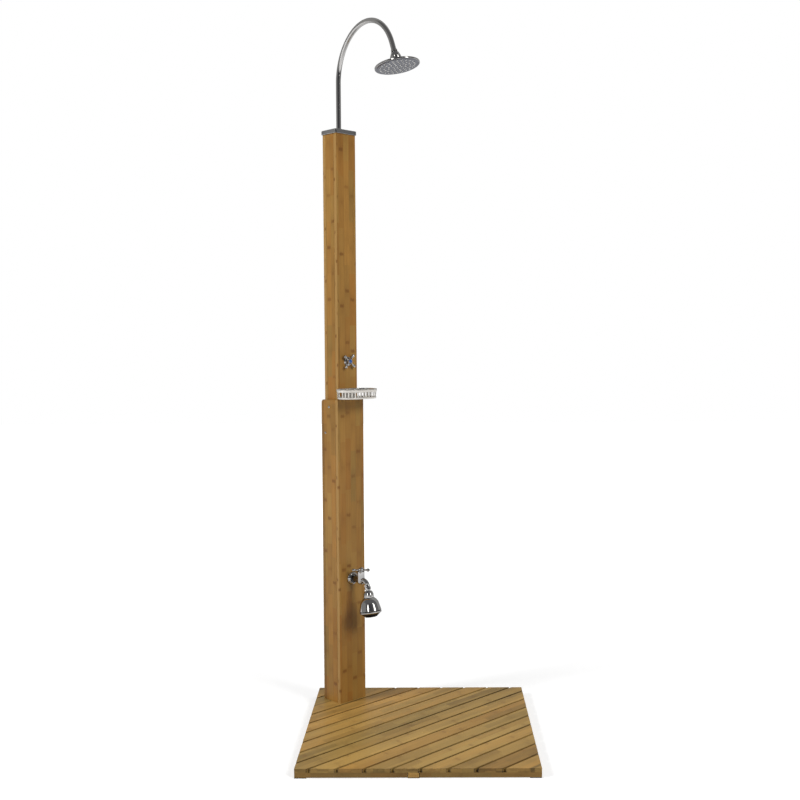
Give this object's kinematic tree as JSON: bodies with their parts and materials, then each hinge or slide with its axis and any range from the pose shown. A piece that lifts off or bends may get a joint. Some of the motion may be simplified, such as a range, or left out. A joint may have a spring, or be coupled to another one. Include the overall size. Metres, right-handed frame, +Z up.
{
  "type": "outdoor shower post",
  "caption": "Free-standing outdoor shower: slatted square deck, two-section wooden post, gooseneck rain head, low foot tap with swivelling spray, and soap basket.",
  "frame": {"origin": "middle of the deck on the floor, under the pads", "axes": "+Z up; +X and +Y along the deck's sides; the post stands in the -X +Y corner and faces the deck's middle, along +X -Y"},
  "size_m": [0.7, 0.7, 2.2469],
  "materials": {
    "deck_bamboo": "oiled laminated bamboo",
    "post_bamboo": "satin lacquered laminated bamboo",
    "pad_rubber": "matt",
    "steel_fasteners": "plain",
    "chrome": "polished",
    "basket_chrome": "polished",
    "brass": "plain",
    "riser_plastic": "plain",
    "cup_plastic": "plain",
    "index_blue": "gloss",
    "spray_black": "satin"
  },
  "bodies": {
    "post": {"centre_joist": "deck_bamboo", "deck_pads": "pad_rubber", "deck_slat_01": "deck_bamboo", "deck_slat_02": "deck_bamboo", "deck_slat_03": "deck_bamboo", "deck_slat_04": "deck_bamboo", "deck_slat_05": "deck_bamboo", "deck_slat_06": "deck_bamboo", "deck_slat_07": "deck_bamboo", "deck_slat_08": "deck_bamboo", "deck_slat_09": "deck_bamboo", "deck_slat_10": "deck_bamboo", "deck_slat_11": "deck_bamboo", "deck_slat_12": "deck_bamboo", "deck_slat_13": "deck_bamboo", "deck_slat_14": "deck_bamboo", "deck_slat_15": "deck_bamboo", "foot_ball": "chrome", "foot_block": "post_bamboo", "foot_bolts": "steel_fasteners", "foot_flange": "chrome", "foot_spout": "chrome", "foot_tap_body": "chrome", "gooseneck": "chrome", "hose_inlet": "brass", "lower_back_board": "post_bamboo", "lower_front_board": "post_bamboo", "lower_left_board": "post_bamboo", "lower_right_board": "post_bamboo", "middle_riser": "riser_plastic", "neck_nut": "brass", "post_board": "deck_bamboo", "post_cap": "chrome", "rail_back": "deck_bamboo", "rail_front": "deck_bamboo", "rain_ball": "chrome", "riser_tee": "brass", "side_rails": "deck_bamboo", "soap_basket": "basket_chrome", "upper_back_board": "post_bamboo", "upper_bonnet": "chrome", "upper_front_board": "post_bamboo", "upper_left_board": "post_bamboo", "upper_right_board": "post_bamboo", "upper_riser": "riser_plastic", "upper_valve_body": "brass", "wood_screws": "steel_fasteners"},
    "upper_handle": {"upper_handle": "chrome", "upper_index": "index_blue", "upper_spindle": "brass"},
    "foot_handle": {"foot_handle": "chrome", "foot_spindle": "brass"},
    "rain_swivel": {"rain_cup": "cup_plastic"},
    "rain_head": {"rain_nut": "chrome", "rain_shell": "chrome", "rain_face": "chrome"},
    "foot_swivel": {"foot_cup": "cup_plastic"},
    "foot_head": {"foot_nut": "chrome", "foot_bell": "chrome", "foot_face": "spray_black"}
  },
  "joints": [
    {"name": "upper_handle_turn", "type": "hinge", "parent": "post", "child": "upper_handle", "pos_m": [-0.23475, 0.23475, 1.164], "axis": [0.7071, -0.7071, 0], "range_deg": [0, 90]},
    {"name": "foot_handle_turn", "type": "hinge", "parent": "post", "child": "foot_handle", "pos_m": [-0.19338, 0.19338, 0.442], "axis": [0, 0, 1], "range_deg": [0, 90]},
    {"name": "rain_spin", "type": "hinge", "parent": "post", "child": "rain_swivel", "pos_m": [-0.06248, -0.00663, 2.09827], "axis": [-0.2324, 0.3141, 0.9205], "range_deg": [-180, 180]},
    {"name": "rain_tilt", "type": "hinge", "parent": "rain_swivel", "child": "rain_head", "pos_m": [-0.06248, -0.00663, 2.09827], "axis": [0.9467, 0.2901, 0.14], "range_deg": [-34.5, 5.5]},
    {"name": "foot_spin", "type": "hinge", "parent": "post", "child": "foot_swivel", "pos_m": [-0.16726, 0.16726, 0.40144], "axis": [-0.1228, 0.1228, 0.9848], "range_deg": [-180, 180]},
    {"name": "foot_tilt", "type": "hinge", "parent": "foot_swivel", "child": "foot_head", "pos_m": [-0.16726, 0.16726, 0.40144], "axis": [0.7071, 0.7071, 0], "range_deg": [-20, 20]}
  ]
}
